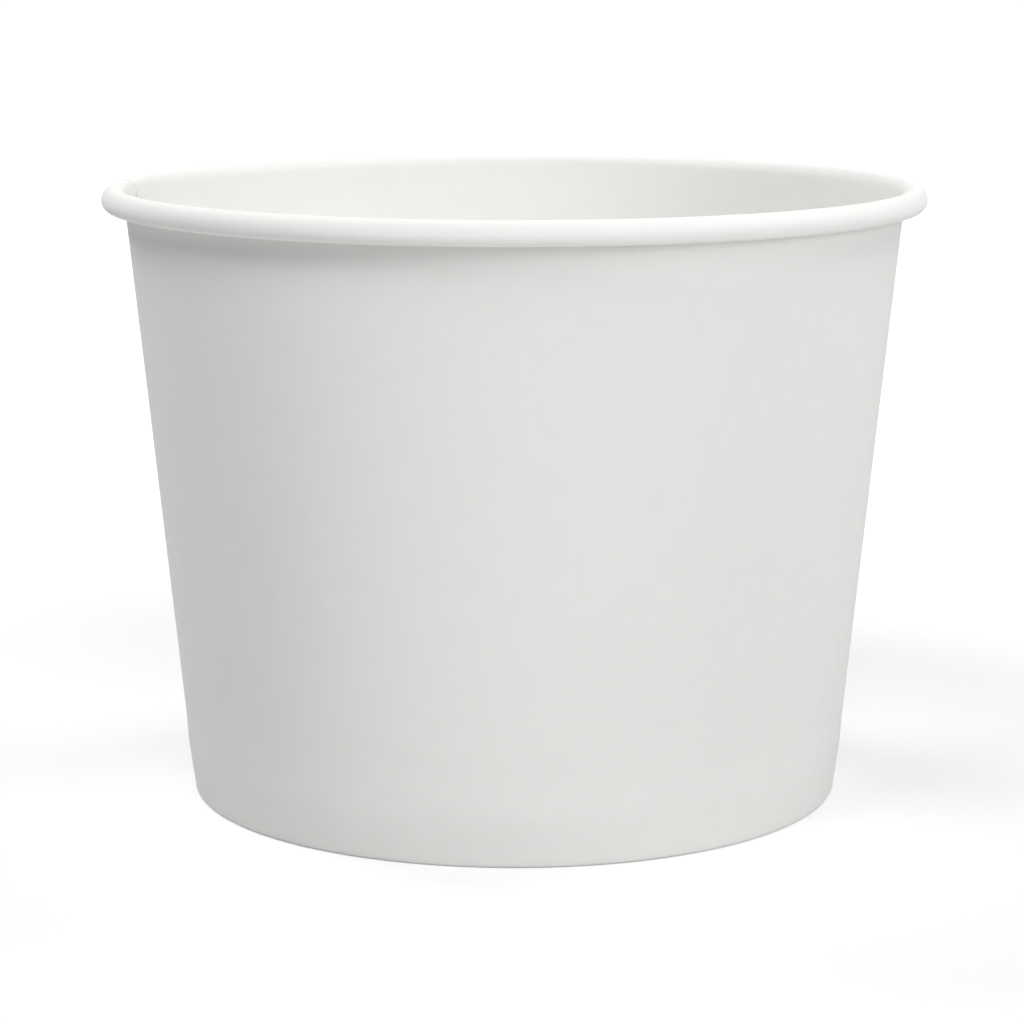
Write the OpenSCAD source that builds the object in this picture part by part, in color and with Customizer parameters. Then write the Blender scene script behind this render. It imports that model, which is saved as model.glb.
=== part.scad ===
// Paper soup cup: a conical side wall with a rolled rim, a lap seam and a folded foot,
// and a base disc whose skirt is clamped inside the foot. Millimetres, +Z up, the origin
// on the axis at the table. The seam is at the left end, a little behind -X.

/* [Cup] */
// Outside diameter over the rolled rim
rim_d = 112; // [104:0.5:125]
// Outside diameter of the side wall at the table
base_d = 89.5; // [75:0.5:95]
// Height from the table to the top of the rim
height = 83.5; // [50:0.5:130]

/* [Paperboard] */
// Thickness of the side wall's board
wall_t = 0.45; // [0.3:0.05:0.6]
// Thickness of the base disc's board
base_t = 0.45; // [0.3:0.05:0.6]
// Fused coating between two sheets that are sealed together
seal = 0.05; // [0.03:0.01:0.1]

/* [Rolled rim] */
// Width of the roll, from the wall's inner face to the rim's outer edge
curl_d = 3.5; // [3:0.1:4.5]
// Air between the turns of the roll
curl_gap = 0.15; // [0.1:0.05:0.25]
// How far the board's cut edge runs on inside the roll, in degrees
curl_tuck = 60; // [20:5:90]

/* [Base] */
// Height of the base disc's underside above the table
base_recess = 9; // [6:0.5:14]
// Inside radius of the bend between the disc and its skirt
base_bend = 0.5; // [0.3:0.1:1.5]
// Gap between the hem's cut edge and the start of the disc's bend
hem_gap = 0.5; // [0.3:0.1:2]
// Gap between the skirt's cut edge and the inside of the foot's fold
skirt_gap = 0.4; // [0.2:0.1:2]

/* [Side seam] */
// Width of the lap, where the wall is two boards thick
lap_w = 7; // [5:0.5:10]
// Width over which the outer board comes back down to the wall
ramp_w = 3; // [2:0.5:4]
// Height over which the lap is ironed flat above the foot
lap_fade = 1; // [0.5:0.5:3]
// Bearing of the seam, seen from above
seam_at = 172; // [0:1:359]

/* [Hidden] */
$fn = 96;
board_white = "#efeeeb";
// The longest step along a bend, in degrees: on the rim, inside its roll, and on the folds
roll_step = 30;
hidden_step = 45;
fold_step = 50;

// The roll's centre, with its outer turn touching the rim's diameter and the full height
curl_r = curl_d / 2;
curl_c = [rim_d / 2 - curl_r, height - curl_r];
// Each half turn after the first is smaller, so that the board clears the turn outside it
under_r = curl_r - (wall_t + curl_gap) / 2;
under_c = curl_c + [curl_r - under_r, 0];
tuck_r = curl_r - wall_t - curl_gap;

// The wall leans so that its outer face runs from the table to a tangent of the roll
foot_r = base_d / 2;
roll_from_foot = curl_c - [foot_r, 0];
lean = atan2(roll_from_foot.x, roll_from_foot.y) - asin((curl_r - wall_t) / norm(roll_from_foot));
// Square to the wall, away from the axis
outward = [cos(lean), -sin(lean)];

// Depths under the wall's outer face, square to the board
skirt_depth = wall_t + seal;
hem_depth = skirt_depth + base_t + seal;
foot_depth = hem_depth + wall_t;

// The foot folds round the two corners of a flat ring, one board above the table
fold_out = face(wall_t, wall_t);
fold_in = face(hem_depth, wall_t);
// The disc bends down into its skirt, and the hem ends just below that bend
bend_c = face(skirt_depth + base_t + base_bend, base_recess - base_bend);
hem_top = bend_c.y - hem_gap;
skirt_end = wall_t + skirt_gap;

// The lap's bearings: its cut edge, the inner board's cut edge, and the ramp's end
rim_turn = 360 / (PI * rim_d);
lap_start = seam_at - (lap_w + ramp_w) / 2 * rim_turn;
inner_edge = lap_start + lap_w * rim_turn;
lap_end = inner_edge + ramp_w * rim_turn;
// Past its end the ramp runs on inside the wall, where it adds and cuts nothing
ramp_end = lap_end + ramp_w / 2 * rim_turn;
// The ramp is flat, so the wall's roundness does part of its rise
middle_r = (rim_d + base_d) / 4;
ramp_tilt = atan(wall_t / ramp_w - ramp_w / (2 * middle_r));

// Point at height z on a cone that lies under the wall's outer face by this depth
function face(depth, z) = [foot_r + z * tan(lean) - depth / cos(lean), z];
// Points along an arc, in even steps no longer than this step
function arc(centre, r, from, to, step, skip = 0) =
    let (count = max(1, ceil(abs(to - from) / step)))
    [for (i = [skip:count]) let (a = from + (to - from) * i / count) centre + r * [cos(a), sin(a)]];
function reversed(points) = [for (i = [len(points) - 1:-1:0]) points[i]];

// One face of the rolled rim, this deep in the board: over, under, and up inside
function curl_face(depth, step) = concat(
    arc(curl_c, curl_r - depth, 180 - lean, 0, step),
    arc(under_c, under_r - depth, 0, -180, step, 1),
    arc(curl_c, tuck_r - depth, 180, 180 - curl_tuck, step, 1)
);

// The side wall's board in section: hem, foot, cone and rolled rim as one strip
module side_section() {
    liner_face = concat([face(hem_depth, hem_top), fold_in, fold_out], curl_face(0, roll_step));
    outside_face = concat(
        [face(foot_depth, hem_top)],
        arc(fold_in, wall_t, 180 - lean, 270, fold_step),
        arc(fold_out, wall_t, -90, -lean, fold_step),
        curl_face(wall_t, hidden_step)
    );
    polygon(concat(liner_face, reversed(outside_face)));
}

// The base's board in section: the disc, its bend, and the skirt that the hem clamps
module base_section() {
    top_face = concat(
        [[0, base_recess + base_t]],
        arc(bend_c, base_bend + base_t, 90, -lean, fold_step),
        [face(skirt_depth, skirt_end)]
    );
    under_face = concat(
        [[0, base_recess]],
        arc(bend_c, base_bend, 90, -lean, fold_step),
        [face(skirt_depth + base_t, skirt_end)]
    );
    polygon(concat(top_face, reversed(under_face)));
}

// The second board outside the wall, ironed flat above the foot
module outer_lap_section() {
    lap_top = curl_c.y - curl_gap;
    polygon([
        face(wall_t / 2, wall_t),
        face(-wall_t, wall_t + lap_fade),
        face(-wall_t, lap_top),
        face(wall_t / 2, lap_top),
    ]);
}

// The same board where it comes up inside the hem
module hem_lap_section() {
    polygon([
        face(foot_depth - wall_t / 2, wall_t),
        face(foot_depth + wall_t, wall_t + lap_fade),
        face(foot_depth + wall_t, hem_top - wall_t),
        face(foot_depth - wall_t / 2, hem_top - wall_t / 2),
    ]);
}

// The hollow beside the inner board's cut edge, from the base disc to the rim
module hollow_section() {
    floor_z = base_recess + base_t / 2;
    top_z = curl_c.y - wall_t;
    polygon([
        face(-wall_t / 2, floor_z),
        face(-wall_t / 2, top_z),
        face(2 * wall_t, top_z),
        face(2 * wall_t, floor_z),
    ]);
}

// A section turned from one bearing to another
module swept(from, to) {
    rotate([0, 0, from])
        rotate_extrude(angle = to - from)
            children();
}

// All that lies outside (side 1) or inside (side -1) the ramp's plane, which meets the cone
// at this depth along the lap's end and turns by this tilt towards the lap
module beside_ramp(depth, side, tilt) {
    reach = height + rim_d;
    rotate([0, 0, lap_end])
        translate([face(depth, 0).x, 0, 0])
            rotate([0, lean, 0])
                rotate([0, 0, tilt])
                    translate([side > 0 ? 0 : -reach, -reach / 2, -reach / 2])
                        cube([reach, reach, 2 * reach]);
}

// One blank of coated board, rolled to a cone, sealed along the lap and curled at the rim
module side_wall() {
    color(board_white)
        difference() {
            union() {
                rotate_extrude() side_section();
                difference() {
                    swept(lap_start, ramp_end) outer_lap_section();
                    beside_ramp(0, 1, ramp_tilt);
                }
                difference() {
                    swept(lap_start, ramp_end) hem_lap_section();
                    beside_ramp(foot_depth, -1, -ramp_tilt);
                }
            }
            intersection() {
                swept(inner_edge, ramp_end) hollow_section();
                beside_ramp(wall_t, -1, ramp_tilt);
            }
        }
}

// One round blank of coated board, its edge turned down
module base_disc() {
    color(board_white)
        rotate_extrude() base_section();
}

side_wall();
base_disc();
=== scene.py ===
"""Paper soup cup: the looks of a squat cup of white coated board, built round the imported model."""

import math

import bmesh
import bpy
from bpy.props import FloatProperty, FloatVectorProperty, IntProperty, PointerProperty
from bpy.types import Operator, Panel, PropertyGroup
from mathutils import Matrix, Vector


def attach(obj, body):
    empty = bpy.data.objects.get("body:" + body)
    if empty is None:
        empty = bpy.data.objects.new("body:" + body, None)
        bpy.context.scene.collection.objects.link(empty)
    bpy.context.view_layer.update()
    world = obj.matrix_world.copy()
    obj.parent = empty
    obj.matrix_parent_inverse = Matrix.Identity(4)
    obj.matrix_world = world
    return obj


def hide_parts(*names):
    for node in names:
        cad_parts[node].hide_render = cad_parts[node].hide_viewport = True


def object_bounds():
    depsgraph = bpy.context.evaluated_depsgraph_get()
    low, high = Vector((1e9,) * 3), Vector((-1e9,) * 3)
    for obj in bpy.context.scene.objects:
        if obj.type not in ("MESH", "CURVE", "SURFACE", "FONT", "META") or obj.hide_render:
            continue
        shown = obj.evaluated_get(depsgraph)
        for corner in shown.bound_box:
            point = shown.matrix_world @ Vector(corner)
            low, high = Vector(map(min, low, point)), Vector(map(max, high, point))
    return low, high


bl_info = {
    "name": "Paper Soup Cup",
    "version": (1, 0, 0),
    "blender": (4, 5, 0),
    "location": "View3D > Sidebar > Soup Cup",
    "description": "Builds a rolled-rim paper soup cup and its white studio stage",
    "category": "Add Mesh",
}

MM = 0.001
ROOT = "root"
SIDE_NODE = "side_wall"
BASE_NODE = "base_disc"
# Points nearer to each other than this are one point
SAME_PLACE = 1e-6

# Steps of the sweep: round the cup, over the seam's ramp, along its lap, and round the disc
ROUND_STEPS = 476
RAMP_STEPS = 8
LAP_STEPS = 10
DISC_STEPS = 360
# Steps of the section: up the hem, and round each bend
HEM_STEPS = 10
FOLD_STEPS = 5
ROLL_STEPS = 13
TUCK_STEPS = 4
DISC_BEND_STEPS = 7

# Half the hairline gap, at the rim, between the board's two ends where they meet
EDGE_LINE = 0.02 * MM
# How much of the second board is left where the lap is pressed into the roll
LAP_IN_ROLL = 0.1

# The camera's sensor in its own millimetres, and how near and far it sees, in metres
SENSOR_WIDTH = 36.0
CAMERA_REACH = (0.01, 50.0)
# Metres from the cup to the floor's edge, far past the picture
FLOOR_HALF_SIZE = 15.0

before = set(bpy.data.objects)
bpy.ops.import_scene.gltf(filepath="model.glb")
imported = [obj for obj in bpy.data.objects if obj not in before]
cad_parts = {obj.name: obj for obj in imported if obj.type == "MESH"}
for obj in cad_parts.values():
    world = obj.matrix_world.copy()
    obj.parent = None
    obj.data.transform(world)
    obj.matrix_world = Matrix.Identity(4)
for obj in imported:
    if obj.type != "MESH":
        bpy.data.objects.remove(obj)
CAD_BOX = [[float(x) for x in corner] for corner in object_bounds()]
CUP_HEIGHT = CAD_BOX[1][2] - CAD_BOX[0][2]
RIM_RADIUS = (CAD_BOX[1][0] - CAD_BOX[0][0]) / 2


def linear(hex_text):
    """The linear colour of an sRGB hex value."""
    levels = [int(hex_text[i : i + 2], 16) / 255 for i in (1, 3, 5)]
    return tuple(
        level / 12.92 if level <= 0.04045 else ((level + 0.055) / 1.055) ** 2.4
        for level in levels
    )


def length(name, description, default):
    """A size in metres, written in millimetres."""
    return FloatProperty(
        name=name, description=description, default=default * MM, unit="LENGTH", precision=5
    )


def colour(name, description, hex_text):
    """A colour that a user may change, written as an sRGB hex value."""
    return FloatVectorProperty(
        name=name, description=description, default=linear(hex_text), subtype="COLOR", size=3
    )


def power(name, description, watts):
    """A lamp's power."""
    return FloatProperty(name=name, description=description, default=watts, subtype="POWER")


class SoupCupShape(PropertyGroup):
    """Sizes of the board and of its bends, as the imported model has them."""

    rim_radius: FloatProperty(
        name="Rim Radius",
        description="Outside radius over the rolled rim",
        default=RIM_RADIUS,
        unit="LENGTH",
    )
    height: FloatProperty(
        name="Height",
        description="From the table to the top of the rim",
        default=CUP_HEIGHT,
        unit="LENGTH",
    )
    foot_radius: length("Foot Radius", "Outside radius of the wall at the table", 44.75)
    board: length("Side Board", "Thickness of the side wall's board", 0.45)
    base_board: length("Base Board", "Thickness of the base disc's board", 0.45)
    seal: length("Seal", "Fused coating between two sealed sheets", 0.05)
    roll_width: length("Roll Width", "Width of the rolled rim", 3.5)
    roll_gap: length("Roll Gap", "Air between the turns of the roll", 0.15)
    tuck: FloatProperty(
        name="Tuck",
        description="How far the cut edge runs on inside the roll",
        default=math.radians(60),
        subtype="ANGLE",
    )
    recess: length("Base Recess", "Height of the base disc's underside", 9.0)
    base_bend: length("Base Bend", "Inside radius of the disc's bend", 0.5)
    hem_gap: length("Hem Gap", "Gap between the hem's edge and the disc's bend", 0.5)
    skirt_gap: length("Skirt Gap", "Gap between the skirt's edge and the foot's fold", 0.4)
    lap_width: length("Lap Width", "Width of the side seam's lap, at the rim", 7.0)
    ramp_width: length("Ramp Width", "Width over which the outer board steps down", 3.0)
    seam_bearing: FloatProperty(
        name="Seam Bearing",
        description="Where the side seam lies, seen from above",
        default=math.radians(172),
        subtype="ANGLE",
    )
    knurls: IntProperty(
        name="Knurls", description="Ribs pressed into the hem", default=96, min=12
    )
    knurl_depth: length("Knurl Depth", "Depth of the pressed ribs", 0.12)
    press_height: length("Press Height", "Height of the band that the foot's press irons", 6.7)
    press_depth: length("Press Depth", "How far the press leans the foot inwards", 0.24)
    press_ridge: length("Press Ridge", "Height over which the wall swells above the press", 5.0)


class SoupCupFinish(PropertyGroup):
    """Colours of the board's faces."""

    outside: colour("Outside", "Clay-coated outer face of the board", "#EDECEA")
    # The lining is paler than the outside partly as painted light, for the glow inside the cup
    lining_and_painted_glow: colour("Lining", "Film-lined inner face, which also shows on the rim", "#F4F3F1")
    underside: colour("Underside", "Uncoated underside of the base disc", "#E6E3DC")
    cut_edge: colour("Cut Edge", "Raw edge of the board", "#E0DBD1")
    floor: colour("Floor", "Table and backdrop", "#DADADA")


class SoupCupStage(PropertyGroup):
    """Camera and lamps, placed for the photograph's view."""

    camera_distance: length("Camera Distance", "From the cup's axis", 435.8)
    camera_height: length("Camera Height", "Above the table", 119.2)
    camera_tilt: FloatProperty(
        name="Camera Tilt",
        description="How far the camera looks down",
        default=math.radians(10.57),
        subtype="ANGLE",
    )
    camera_turn: FloatProperty(
        name="Camera Turn",
        description="How far the camera looks to the left of the axis",
        default=math.radians(0.043),
        subtype="ANGLE",
    )
    lens: FloatProperty(
        name="Lens", description="Focal length on a 36 mm sensor, in millimetres", default=112.2
    )
    front_power: power("Front Power", "Soft lamp in front, above the camera", 5.1)
    low_right_power: power("Low Right Power", "Soft lamp in front, low on the right", 8.2)
    high_left_power: power("High Left Power", "Soft lamp in front, high on the left", 8.5)
    back_left_power: power("Back Left Power", "Soft lamp behind, on the left", 8.6)
    back_right_power: power("Back Right Power", "Soft lamp behind, on the right", 7.7)
    lamp_size: FloatProperty(
        name="Lamp Size", description="Across each round soft lamp", default=0.7, unit="LENGTH"
    )
    lamp_distance: FloatProperty(
        name="Lamp Distance",
        description="From the cup's middle to each lamp",
        default=1.5,
        unit="LENGTH",
    )
    floor_lift: FloatProperty(
        name="Floor Lift",
        description="White that the camera alone sees on the floor, so that it ends white",
        default=0.34,
    )


# Each lamp's name, and its place: degrees to the right of the front, and degrees up. Those in
# front light the wall and the inside of its back, and those behind the rim and the sides. The
# places and powers were chosen against the brightness that the photograph shows.
LAMPS = (
    ("front", 10, 42),
    ("low_right", 45, 18),
    ("high_left", -45, 55),
    ("back_left", -132, 45),
    ("back_right", 118, 45),
)


def add_node(tree, kind, settings=None, values=None, links=None):
    """Adds one shader node with its settings, its unlinked inputs and its links."""
    node = tree.nodes.new(kind)
    for name, value in (settings or {}).items():
        setattr(node, name, value)
    for name, value in (values or {}).items():
        node.inputs[name].default_value = value
    for name, (source, output) in (links or {}).items():
        tree.links.new(source.outputs[output], node.inputs[name])
    return node


def new_material(name):
    """An empty node material and its output node."""
    material = bpy.data.materials.new(name)
    material.use_nodes = True
    material.node_tree.nodes.clear()
    return material, add_node(material.node_tree, "ShaderNodeOutputMaterial")


def board_face(name, base, roughness, sheen_ior, cloud, fibre_depth):
    """One face of the board: cloudy in colour, with fibres that lift the surface a little."""
    # How unevenly pulp settles in a sheet, as clouds a few millimetres across
    cloud_size = 3 * MM
    cloud_from, cloud_to = 0.35, 0.65
    # A fibre is about 0.03 mm thick, which is too fine to show in the render, so tufts of
    # fibres are drawn instead, coarser than they are, and longer up the cup than across it
    fibre_size = 0.55 * MM
    grain_stretch = 0.35
    material, output = new_material(name)
    tree = material.node_tree
    place = add_node(tree, "ShaderNodeTexCoord")
    along_grain = add_node(
        tree,
        "ShaderNodeMapping",
        values={"Scale": (1.0, 1.0, grain_stretch)},
        links={"Vector": (place, "Object")},
    )
    clouds = add_node(
        tree,
        "ShaderNodeTexNoise",
        values={"Scale": 1 / cloud_size, "Detail": 3.0, "Roughness": 0.55},
        links={"Vector": (place, "Object")},
    )
    darker = [level * (1 - cloud) for level in base]
    paler = [min(1.0, level * (1 + cloud)) for level in base]
    tint = add_node(tree, "ShaderNodeValToRGB", links={"Fac": (clouds, "Fac")})
    tint.color_ramp.elements[0].position = cloud_from
    tint.color_ramp.elements[0].color = (*darker, 1.0)
    tint.color_ramp.elements[1].position = cloud_to
    tint.color_ramp.elements[1].color = (*paler, 1.0)
    fibres = add_node(
        tree,
        "ShaderNodeTexNoise",
        values={"Scale": 1 / fibre_size, "Detail": 4.0, "Roughness": 0.6},
        links={"Vector": (along_grain, "Vector")},
    )
    lift = add_node(
        tree,
        "ShaderNodeBump",
        values={"Strength": 1.0, "Distance": fibre_depth},
        links={"Height": (fibres, "Fac")},
    )
    shader = add_node(
        tree,
        "ShaderNodeBsdfPrincipled",
        values={"Roughness": roughness, "IOR": sheen_ior},
        links={"Base Color": (tint, "Color"), "Normal": (lift, "Normal")},
    )
    tree.links.new(shader.outputs["BSDF"], output.inputs["Surface"])
    return material


def clay_coated_board(finish):
    """Bleached board with a calendered clay coating, the outside of the cup."""
    # To the eye: an even near-white, smooth, with a soft sheen and no highlight
    return board_face(
        "clay_coated_board",
        finish.outside,
        roughness=0.55,
        sheen_ior=1.48,
        cloud=0.006,
        fibre_depth=0.012 * MM,
    )


def film_lined_board(finish):
    """The same board under a matt polyethylene film, inside the cup and over its rim."""
    # To the eye: the palest face, with the least grain, so matt that the rim doesn't glare. Part of
    # its paleness is painted light: the colour is raised to stand for the glow inside the cup, from
    # light through the thin wall and bounced round the inside.
    return board_face(
        "film_lined_board",
        finish.lining_and_painted_glow,
        roughness=0.75,
        sheen_ior=1.47,
        cloud=0.004,
        fibre_depth=0.008 * MM,
    )


def uncoated_board(finish):
    """Bare bleached board, the underside of the base disc."""
    # To the eye: duller and warmer than the coated faces, a little blotchy, its fibres open
    return board_face(
        "uncoated_board",
        finish.underside,
        roughness=0.75,
        sheen_ior=1.45,
        cloud=0.02,
        fibre_depth=0.02 * MM,
    )


def cut_board_edge(finish):
    """The raw edge that a die leaves in the board."""
    # To the eye: a thin fluffy line, darker and warmer than either face
    return board_face(
        "cut_board_edge",
        finish.cut_edge,
        roughness=0.85,
        sheen_ior=1.45,
        cloud=0.03,
        fibre_depth=0.03 * MM,
    )


def run_to(bm, vert, point, count):
    """Draws a straight run from a vertex of the section to a point, in equal parts."""
    start = vert.co.copy()
    for i in range(1, count + 1):
        vert = bmesh.ops.extrude_vert_indiv(bm, verts=[vert])["verts"][0]
        vert.co = start.lerp(point, i / count)
    return vert


def bend_round(bm, vert, centre, angle, steps):
    """Bends the section on round a centre; a positive angle goes over the top and outwards."""
    made = bmesh.ops.spin(
        bm, geom=[vert], cent=centre, axis=(0, 1, 0), angle=angle, steps=steps
    )
    return next(item for item in made["geom_last"] if isinstance(item, bmesh.types.BMVert))


class CupSection:
    """Points of the cup's section, in the XZ plane, worked out from its sizes."""

    def __init__(self, shape):
        self.shape = shape
        self.roll = shape.roll_width / 2
        self.roll_centre = self.at(shape.rim_radius - self.roll, shape.height - self.roll)
        self.under = self.roll - (shape.board + shape.roll_gap) / 2
        self.under_centre = self.roll_centre + Vector((self.roll - self.under, 0, 0))
        from_foot = self.roll_centre - self.at(shape.foot_radius, 0)
        to_roll = math.atan2(from_foot.x, from_foot.z)
        self.lean = to_roll - math.asin((self.roll - shape.board) / from_foot.length)
        self.outward = Vector((math.cos(self.lean), 0, -math.sin(self.lean)))
        self.skirt_depth = shape.board + shape.seal
        self.hem_depth = self.skirt_depth + shape.base_board + shape.seal
        self.foot_depth = self.hem_depth + shape.board
        self.bend_centre = self.face(
            self.skirt_depth + shape.base_board + shape.base_bend, shape.recess - shape.base_bend
        )
        self.hem_top = self.bend_centre.z - shape.hem_gap
        self.wall_top = self.roll_centre - (self.roll - shape.board) * self.outward

    @staticmethod
    def at(radius, height):
        return Vector((radius, 0, height))

    def face(self, depth, height):
        """A point on the cone that lies this deep under the wall's outer face."""
        radius = self.shape.foot_radius + height * math.tan(self.lean)
        return self.at(radius - depth / math.cos(self.lean), height)


def smooth_step(low, high, value):
    """Rises from 0 to 1 between two values, level at both."""
    share = min(1.0, max(0.0, (value - low) / (high - low)))
    return share * share * (3 - 2 * share)


def draw_side_section(bm, section):
    """Draws the side board's outer face as one open line, from the hem to inside the roll."""
    shape = section.shape
    board = shape.board
    fold_clearance = 0.05 * MM
    corner = board + fold_clearance
    fold_in = section.face(section.hem_depth - fold_clearance, corner)
    fold_out = section.face(corner, corner)
    quarter = math.pi / 2
    vert = bm.verts.new(section.face(section.foot_depth, section.hem_top))
    vert = run_to(bm, vert, fold_in - corner * section.outward, HEM_STEPS)
    vert = bend_round(bm, vert, fold_in, -(quarter + section.lean), FOLD_STEPS)
    vert = run_to(bm, vert, section.at(fold_out.x, 0), 1)
    vert = bend_round(bm, vert, fold_out, -(quarter - section.lean), FOLD_STEPS)

    # Up the wall, with points closer together where it isn't straight
    press = shape.press_height
    above_foot, press_edge, below_rim = 1.5 * MM, 0.6 * MM, 4 * MM
    for height, count in (
        (above_foot, 2),
        (press - press_edge, 3),
        (press + press_edge, 3),
        (press + shape.press_ridge, 5),
        (section.wall_top.z - below_rim, 9),
    ):
        vert = run_to(bm, vert, section.face(0, height), count)
    vert = run_to(bm, vert, section.wall_top, 5)

    half_turn = math.pi
    vert = bend_round(bm, vert, section.roll_centre, half_turn - section.lean, ROLL_STEPS)
    vert = bend_round(bm, vert, section.under_centre, half_turn, ROLL_STEPS)
    bend_round(bm, vert, section.roll_centre, shape.tuck, TUCK_STEPS)


def chain(bm):
    """The vertices of the one open line in a bmesh, in order from its first."""
    verts = list(bm.verts)
    here = verts[0]
    ordered = [here]
    seen = {here}
    while True:
        there = [e.other_vert(here) for e in here.link_edges if e.other_vert(here) not in seen]
        if not there:
            return ordered
        here = there[0]
        ordered.append(here)
        seen.add(here)


def note_outside(bm, section):
    """Stores, on each vertex, its outside direction and its part in the lap and in the ribs."""
    # Heights between which the lap's second board comes up from the foot's fold
    lap_from, lap_to = 0.5 * MM, 1.6 * MM
    # Heights between which the hem's ribs begin, and the height over which they end again
    ribs_from, ribs_to, ribs_end = 0.8 * MM, 2.2 * MM, 1 * MM
    # Height over which the lap is pressed flatter below the roll
    fade_height = 3 * MM
    layers = bm.verts.layers.float
    out_r, out_z = layers.new("out_r"), layers.new("out_z")
    lap, knurl = layers.new("lap"), layers.new("knurl")
    line = chain(bm)
    top = section.wall_top.z
    for i, vert in enumerate(line):
        before, after = line[max(i - 1, 0)], line[min(i + 1, len(line) - 1)]
        along = (after.co - before.co).normalized()
        vert[out_r], vert[out_z] = along.z, -along.x
        height = vert.co.z
        rise = smooth_step(lap_from, lap_to, height)
        if i <= HEM_STEPS:
            vert[lap] = rise
            begin = smooth_step(ribs_from, ribs_to, height)
            vert[knurl] = begin * smooth_step(section.hem_top, section.hem_top - ribs_end, height)
        elif height < lap_from:
            vert[lap] = 0
        elif vert.co.x < section.roll_centre.x and height < top - SAME_PLACE:
            fade = smooth_step(top - fade_height, top, height)
            vert[lap] = rise * (1 - (1 - LAP_IN_ROLL) * fade)
        else:
            vert[lap] = LAP_IN_ROLL


def pressed(shape, height):
    """How far outwards the foot's press moves the boards at this height."""
    half = shape.press_depth / 2
    lean_in = half - shape.press_depth * (1 - max(0.0, height) / shape.press_height)
    ridge_top = shape.press_height + shape.press_ridge
    swell = half * smooth_step(ridge_top, shape.press_height, height)
    return min(lean_in, swell)


def sweep(bm, edges, angle, steps):
    """Turns the section's edges about the axis, and returns the new vertices and last edges."""
    old = set(bm.verts)
    verts = {v for e in edges for v in e.verts}
    made = bmesh.ops.spin(
        bm, geom=list(verts) + list(edges), cent=(0, 0, 0), axis=(0, 0, 1), angle=angle, steps=steps
    )
    last = [item for item in made["geom_last"] if isinstance(item, bmesh.types.BMEdge)]
    return [v for v in bm.verts if v not in old], last


def push_outside(bm, verts, depth, share):
    """Moves vertices to their outside by a depth, times their part in the lap and a share."""
    layers = bm.verts.layers.float
    out_r, out_z, lap = layers["out_r"], layers["out_z"], layers["lap"]
    for vert in verts:
        bearing = math.atan2(vert.co.y, vert.co.x)
        way = Vector(
            (vert[out_r] * math.cos(bearing), vert[out_r] * math.sin(bearing), vert[out_z])
        )
        vert.co += way * depth * vert[lap] * share(bearing)


def lap_edges(edges, section):
    """The section's edges that the lap runs on from: above the fold and below the roll."""
    above_fold = 0.3 * MM
    lap_top = section.roll_centre.z - section.under + section.shape.board
    return [
        e
        for e in edges
        if all(above_fold < v.co.z < lap_top for v in e.verts)
        and all(v.co.xy.length < section.roll_centre.x for v in e.verts)
    ]


def press_and_sway(bm, shape):
    """Presses ribs into the hem and leans the foot in, and lets the wall sway out of round."""
    sway_depth, sway_bearing = 0.05 * MM, 0.6
    knurl = bm.verts.layers.float["knurl"]
    for vert in bm.verts:
        bearing = math.atan2(vert.co.y, vert.co.x)
        inwards = -Vector((math.cos(bearing), math.sin(bearing), 0))
        rib = (1 - math.cos(shape.knurls * bearing)) / 2
        vert.co += inwards * shape.knurl_depth * rib * vert[knurl]
        vert.co -= inwards * pressed(shape, vert.co.z)
        sway = (1 + math.sin(2 * bearing + sway_bearing)) / 2 * vert.co.z / shape.height
        vert.co += inwards * sway_depth * sway


def pucker_and_press(bm, shape, flat_radius):
    """Puckers the disc's bend, where a round blank has board to spare, and presses its skirt."""
    puckers = 72
    pull_in, pull_down = 0.05 * MM, 0.03 * MM
    bend_from, bend_to = flat_radius - 1.5 * MM, flat_radius + 0.5 * MM
    for vert in bm.verts:
        radius = vert.co.xy.length
        if radius < SAME_PLACE:
            continue
        wave = math.sin(puckers * math.atan2(vert.co.y, vert.co.x))
        drawn = smooth_step(bend_from, bend_to, radius)
        vert.co.xy *= 1 - pull_in / radius * drawn * (1 + wave) / 2
        vert.co.z -= pull_down * drawn * (1 - wave) / 2
        vert.co.xy *= 1 + pressed(shape, vert.co.z) / radius * drawn


def turn_faces(bm, face, way):
    """Makes the faces agree with each other, and turns them so that this one faces this way."""
    bmesh.ops.recalc_face_normals(bm, faces=bm.faces)
    if face.normal.dot(way) < 0:
        bmesh.ops.reverse_faces(bm, faces=bm.faces)


def mesh_object(name, bm, materials):
    """Makes an object of a bmesh, at the origin, smooth, with these materials in its slots."""
    if not bm.faces:
        raise RuntimeError(f"{name} has no faces")
    mesh = bpy.data.meshes.new(name)
    bm.to_mesh(mesh)
    bm.free()
    for material in materials:
        mesh.materials.append(material)
    mesh.polygons.foreach_set("use_smooth", [True] * len(mesh.polygons))
    piece = bpy.data.objects.new(name, mesh)
    bpy.context.scene.collection.objects.link(piece)
    return piece


def give_thickness(piece, thickness):
    """Turns a face into a board: grows it inwards, closes its cut edges and marks them sharp."""
    sharp_from = math.radians(38)
    board = piece.modifiers.new("board", "SOLIDIFY")
    board.thickness = thickness
    board.offset = -1.0
    board.use_even_offset = True
    board.use_quality_normals = True
    board.material_offset = 1
    board.material_offset_rim = 2
    bpy.context.view_layer.update()
    ready = piece.evaluated_get(bpy.context.evaluated_depsgraph_get())
    mesh = bpy.data.meshes.new_from_object(ready)
    piece.modifiers.clear()
    piece.data = mesh
    mesh.set_sharp_from_angle(angle=sharp_from)


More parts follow.
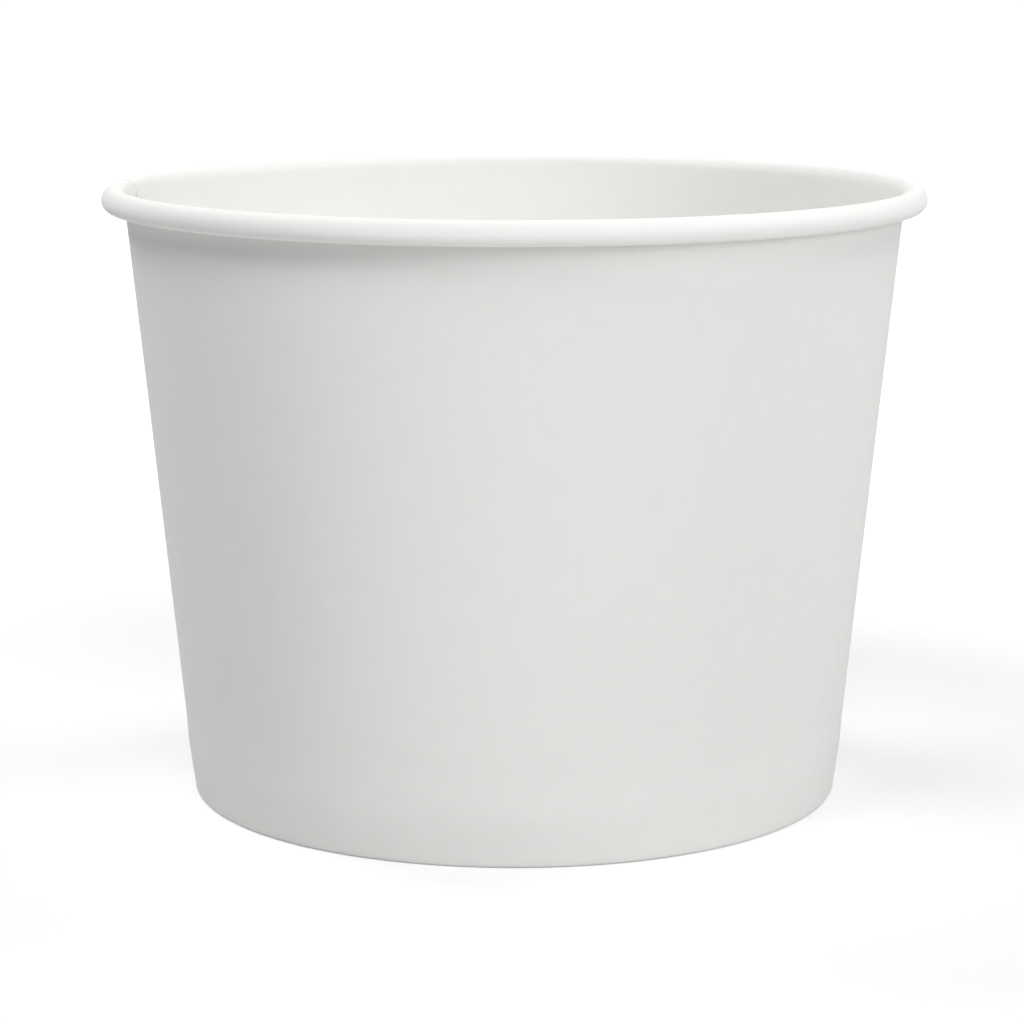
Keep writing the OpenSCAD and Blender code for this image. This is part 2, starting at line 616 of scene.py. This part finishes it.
class SOUPCUP_OT_side_wall(Operator):
    """Rolls the side board to a cone with a lap seam, a rolled rim and a folded, knurled foot"""

    bl_idname = "soupcup.side_wall"
    bl_label = "Side Wall"

    def execute(self, context):
        shape = context.scene.soup_cup_shape
        finish = context.scene.soup_cup_finish
        section = CupSection(shape)
        bm = bmesh.new()
        draw_side_section(bm, section)
        note_outside(bm, section)

        turn = 1 / shape.rim_radius
        ramp = shape.ramp_width * turn
        lap = shape.lap_width * turn
        inner_edge = shape.seam_bearing + (lap - ramp) / 2
        edge_line = EDGE_LINE * turn
        to_start = Matrix.Rotation(inner_edge - edge_line, 3, "Z")
        bmesh.ops.rotate(bm, verts=bm.verts, cent=(0, 0, 0), matrix=to_start)
        round_trip = 2 * math.pi - ramp - edge_line
        _, edges = sweep(bm, list(bm.edges), -round_trip, ROUND_STEPS)
        ramped, edges = sweep(bm, edges, -ramp + edge_line, RAMP_STEPS)
        push_outside(
            bm,
            ramped,
            shape.board,
            lambda bearing: smooth_step(ramp, 0, bearing - inner_edge),
        )
        sweep(bm, lap_edges(edges, section), -lap, LAP_STEPS)
        press_and_sway(bm, shape)

        for name in ("out_r", "out_z", "lap", "knurl"):
            bm.verts.layers.float.remove(bm.verts.layers.float[name])
        on_wall = max(bm.faces, key=lambda f: f.calc_area())
        centre = on_wall.calc_center_median()
        turn_faces(bm, on_wall, Vector((centre.x, centre.y, 0)))
        piece = mesh_object(
            "side_wall_board",
            bm,
            [clay_coated_board(finish), film_lined_board(finish), cut_board_edge(finish)],
        )
        give_thickness(piece, shape.board)
        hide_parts(SIDE_NODE)
        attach(piece, ROOT)
        return {"FINISHED"}


class SOUPCUP_OT_base_disc(Operator):
    """Draws the base disc down at its edge into the skirt that the hem clamps"""

    bl_idname = "soupcup.base_disc"
    bl_label = "Base Disc"

    def execute(self, context):
        shape = context.scene.soup_cup_shape
        finish = context.scene.soup_cup_finish
        section = CupSection(shape)
        bm = bmesh.new()
        near_bend = 3 * MM
        vert = bm.verts.new(section.at(0, shape.recess + shape.base_board))
        flat_end = section.at(section.bend_centre.x, shape.recess + shape.base_board)
        vert = run_to(bm, vert, section.at(flat_end.x - near_bend, flat_end.z), 6)
        vert = run_to(bm, vert, flat_end, 3)
        to_skirt = math.pi / 2 + section.lean
        vert = bend_round(bm, vert, section.bend_centre, to_skirt, DISC_BEND_STEPS)
        skirt_end = section.face(section.skirt_depth, shape.board + shape.skirt_gap)
        run_to(bm, vert, skirt_end, 4)
        bmesh.ops.spin(
            bm,
            geom=list(bm.verts) + list(bm.edges),
            cent=(0, 0, 0),
            axis=(0, 0, 1),
            angle=2 * math.pi,
            steps=DISC_STEPS,
            use_merge=True,
        )
        bmesh.ops.remove_doubles(bm, verts=bm.verts, dist=SAME_PLACE)
        pucker_and_press(bm, shape, flat_end.x)
        in_middle = min(bm.faces, key=lambda f: f.calc_center_median().xy.length)
        turn_faces(bm, in_middle, Vector((0, 0, 1)))
        piece = mesh_object(
            "base_disc_board",
            bm,
            [film_lined_board(finish), uncoated_board(finish), cut_board_edge(finish)],
        )
        give_thickness(piece, shape.base_board)
        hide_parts(BASE_NODE)
        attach(piece, ROOT)
        return {"FINISHED"}


def add_soft_lamp(scene, name, to_right, up):
    """Hangs a round soft lamp that faces the cup, at a bearing and a height in degrees."""
    settings = scene.soup_cup_stage
    bearing, elevation = math.radians(to_right), math.radians(up)
    lamp = bpy.data.lights.new(f"{name}_lamp", "AREA")
    lamp.shape = "DISK"
    lamp.size = settings.lamp_size
    lamp.energy = getattr(settings, f"{name}_power")
    holder = bpy.data.objects.new(lamp.name, lamp)
    level = math.cos(elevation)
    away = Vector((math.sin(bearing) * level, -math.cos(bearing) * level, math.sin(elevation)))
    middle = Vector((0, 0, scene.soup_cup_shape.height / 2))
    holder.location = middle + settings.lamp_distance * away
    holder.rotation_euler = away.to_track_quat("Z", "Y").to_euler()
    scene.collection.objects.link(holder)


def add_white_world(scene):
    """Surrounds the stage with white that only the camera and gloss see."""
    world = bpy.data.worlds.new("white_surroundings")
    scene.world = world
    world.use_nodes = True
    tree = world.node_tree
    tree.nodes.clear()
    path = add_node(tree, "ShaderNodeLightPath")
    seen = add_node(
        tree,
        "ShaderNodeMath",
        {"operation": "MAXIMUM"},
        links={0: (path, "Is Camera Ray"), 1: (path, "Is Glossy Ray")},
    )
    white = add_node(
        tree,
        "ShaderNodeBackground",
        values={"Color": (1.0, 1.0, 1.0, 1.0)},
        links={"Strength": (seen, "Value")},
    )
    add_node(tree, "ShaderNodeOutputWorld", links={"Surface": (white, "Background")})


def white_floor(finish, lift):
    """A matt pale floor: shaded near the cup, and white further off for the camera."""
    # To the eye: a backdrop without a horizon that still holds the cup's soft shadow
    near, far = 0.1, 0.45
    material, output = new_material("white_floor")
    tree = material.node_tree
    matt = add_node(
        tree,
        "ShaderNodeBsdfPrincipled",
        values={"Base Color": (*finish.floor, 1.0), "Roughness": 0.9, "Specular IOR Level": 0.0},
    )
    place = add_node(tree, "ShaderNodeTexCoord")
    distance = add_node(
        tree, "ShaderNodeVectorMath", {"operation": "LENGTH"}, links={0: (place, "Object")}
    )
    whiten = add_node(
        tree,
        "ShaderNodeMapRange",
        {"interpolation_type": "SMOOTHSTEP"},
        values={"From Min": near, "From Max": far, "To Min": lift},
        links={"Value": (distance, "Value")},
    )
    path = add_node(tree, "ShaderNodeLightPath")
    seen = add_node(
        tree,
        "ShaderNodeMath",
        {"operation": "MULTIPLY"},
        links={0: (path, "Is Camera Ray"), 1: (whiten, "Result")},
    )
    white = add_node(
        tree,
        "ShaderNodeEmission",
        values={"Color": (1.0, 1.0, 1.0, 1.0)},
        links={"Strength": (seen, "Value")},
    )
    both = add_node(
        tree, "ShaderNodeAddShader", links={0: (matt, "BSDF"), 1: (white, "Emission")}
    )
    tree.links.new(both.outputs["Shader"], output.inputs["Surface"])
    return material


def add_camera(scene):
    """Puts the camera where the photograph was taken from."""
    settings = scene.soup_cup_stage
    lens = bpy.data.cameras.new("photo_camera")
    lens.sensor_width = SENSOR_WIDTH
    lens.lens = settings.lens
    lens.clip_start, lens.clip_end = CAMERA_REACH
    camera = bpy.data.objects.new("photo_camera", lens)
    camera.location = (0, -settings.camera_distance, settings.camera_height)
    camera.rotation_euler = (math.pi / 2 - settings.camera_tilt, 0, settings.camera_turn)
    scene.collection.objects.link(camera)
    scene.camera = camera


class SOUPCUP_OT_stage(Operator):
    """Lays the white floor and sets the lamps, the surroundings and the camera"""

    bl_idname = "soupcup.stage"
    bl_label = "Stage"

    def execute(self, context):
        scene = context.scene
        lift = scene.soup_cup_stage.floor_lift
        bm = bmesh.new()
        bmesh.ops.create_grid(bm, x_segments=1, y_segments=1, size=FLOOR_HALF_SIZE)
        floor = mesh_object("floor", bm, [white_floor(scene.soup_cup_finish, lift)])
        add_white_world(scene)
        for name, to_right, up in LAMPS:
            add_soft_lamp(scene, name, to_right, up)
        add_camera(scene)
        scene.view_settings.view_transform = "Standard"
        return {"FINISHED"}


class SOUPCUP_PT_panel(Panel):
    """Lists the cup's pieces, its sizes and its finish"""

    bl_idname = "SOUPCUP_PT_panel"
    bl_label = "Paper Soup Cup"
    bl_space_type = "VIEW_3D"
    bl_region_type = "UI"
    bl_category = "Soup Cup"

    def draw(self, context):
        layout = self.layout
        for operator in (SOUPCUP_OT_side_wall, SOUPCUP_OT_base_disc, SOUPCUP_OT_stage):
            layout.operator(operator.bl_idname)
        for name in SETTINGS:
            box = layout.box()
            group = getattr(context.scene, name)
            for key in group.__annotations__:
                box.prop(group, key)


SETTINGS = {
    "soup_cup_shape": SoupCupShape,
    "soup_cup_finish": SoupCupFinish,
    "soup_cup_stage": SoupCupStage,
}
CLASSES = (
    SoupCupShape,
    SoupCupFinish,
    SoupCupStage,
    SOUPCUP_OT_side_wall,
    SOUPCUP_OT_base_disc,
    SOUPCUP_OT_stage,
    SOUPCUP_PT_panel,
)


def register():
    for cls in CLASSES:
        bpy.utils.register_class(cls)
    for name, group in SETTINGS.items():
        setattr(bpy.types.Scene, name, PointerProperty(type=group))


def unregister():
    for name in SETTINGS:
        delattr(bpy.types.Scene, name)
    for cls in reversed(CLASSES):
        bpy.utils.unregister_class(cls)


def main():
    register()
    bpy.ops.soupcup.stage()
    bpy.ops.soupcup.side_wall()
    bpy.ops.soupcup.base_disc()


if __name__ == "__main__":
    main()
